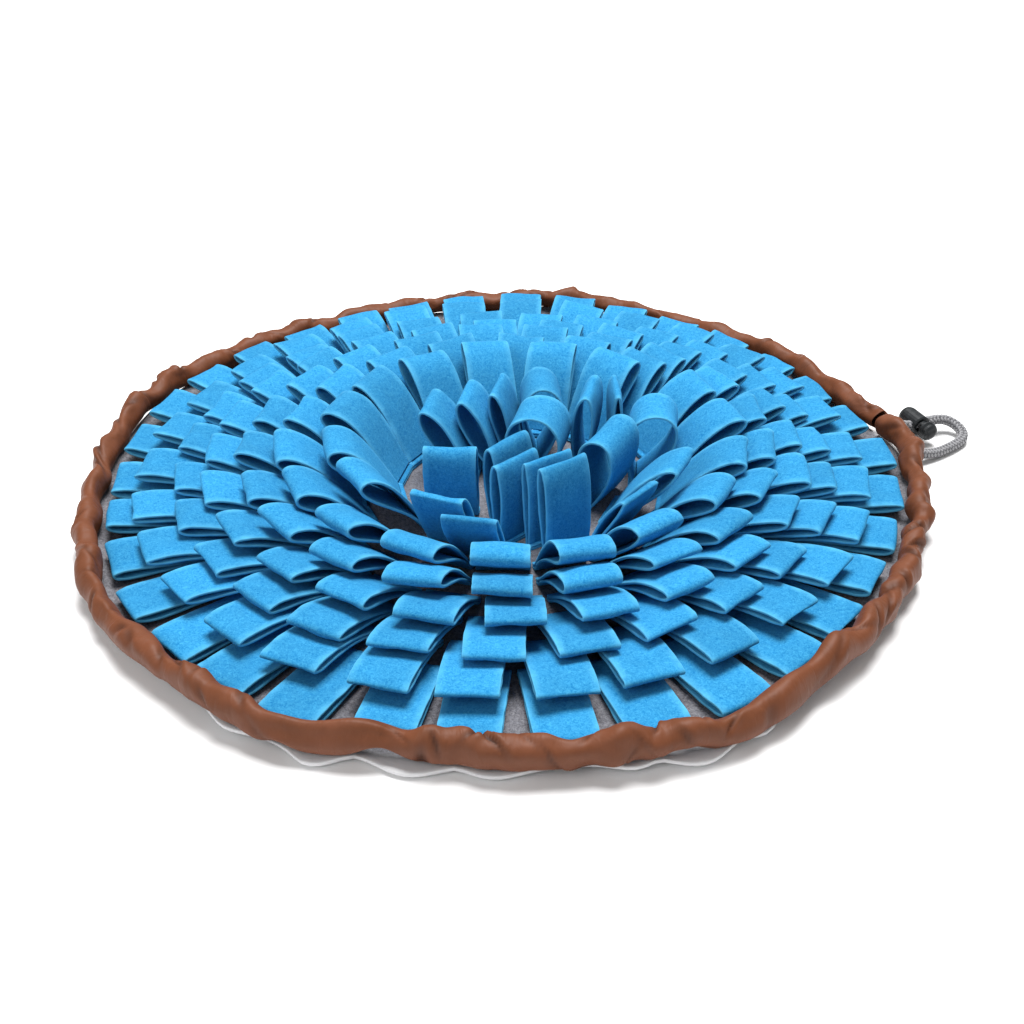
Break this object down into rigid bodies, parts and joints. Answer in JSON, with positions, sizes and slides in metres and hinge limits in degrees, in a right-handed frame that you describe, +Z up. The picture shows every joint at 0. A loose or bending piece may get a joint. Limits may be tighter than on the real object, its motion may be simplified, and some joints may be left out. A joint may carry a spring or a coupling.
{
  "type": "snuffle mat",
  "caption": "Round felt snuffle mat: folded felt strips sewn in rings hide dry food, with a gathered fabric casing, a drawcord and a sprung cord lock at its edge.",
  "frame": {"origin": "middle of the base's underside, where the mat rests", "axes": "+Z up, +X towards the cord lock, -Y towards the side that the picture is taken from"},
  "size_m": [0.5448, 0.4924, 0.0556],
  "materials": {
    "blue_felt": "matt needle-punched felt",
    "grey_felt": "matt melange felt",
    "brown_cloth": "fine plain-woven nylon with a soft sheen",
    "grey_cord": "round knitted polyester cord",
    "black_plastic": "moulded, satin"
  },
  "bodies": {
    "mat": {"base": "grey_felt", "casing": "brown_cloth", "drawcord": "grey_cord", "lock_barrel": "black_plastic", "felt_ring_1": "blue_felt", "felt_ring_2": "blue_felt", "felt_ring_3": "blue_felt", "felt_ring_4": "blue_felt", "felt_ring_5": "blue_felt", "felt_ring_6": "blue_felt", "felt_ring_7": "blue_felt", "heart_loop_01": "blue_felt", "heart_loop_02": "blue_felt", "heart_loop_03": "blue_felt", "heart_loop_04": "blue_felt", "heart_loop_05": "blue_felt", "heart_loop_06": "blue_felt", "heart_loop_07": "blue_felt", "heart_loop_08": "blue_felt", "heart_loop_09": "blue_felt", "heart_loop_10": "blue_felt", "heart_loop_11": "blue_felt", "heart_loop_12": "blue_felt", "heart_loop_13": "blue_felt", "heart_loop_14": "blue_felt", "heart_loop_15": "blue_felt", "heart_loop_16": "blue_felt", "heart_loop_17": "blue_felt", "heart_loop_18": "blue_felt", "heart_loop_19": "blue_felt"},
    "button": {"lock_button": "black_plastic"}
  },
  "joints": [
    {"name": "button_press", "type": "slide", "parent": "mat", "child": "button", "axis": [-0.3453, 0.9385, 0], "range_m": [0, 0.004], "stiffness_N_per_m": 300, "springref_m": -0.004}
  ]
}
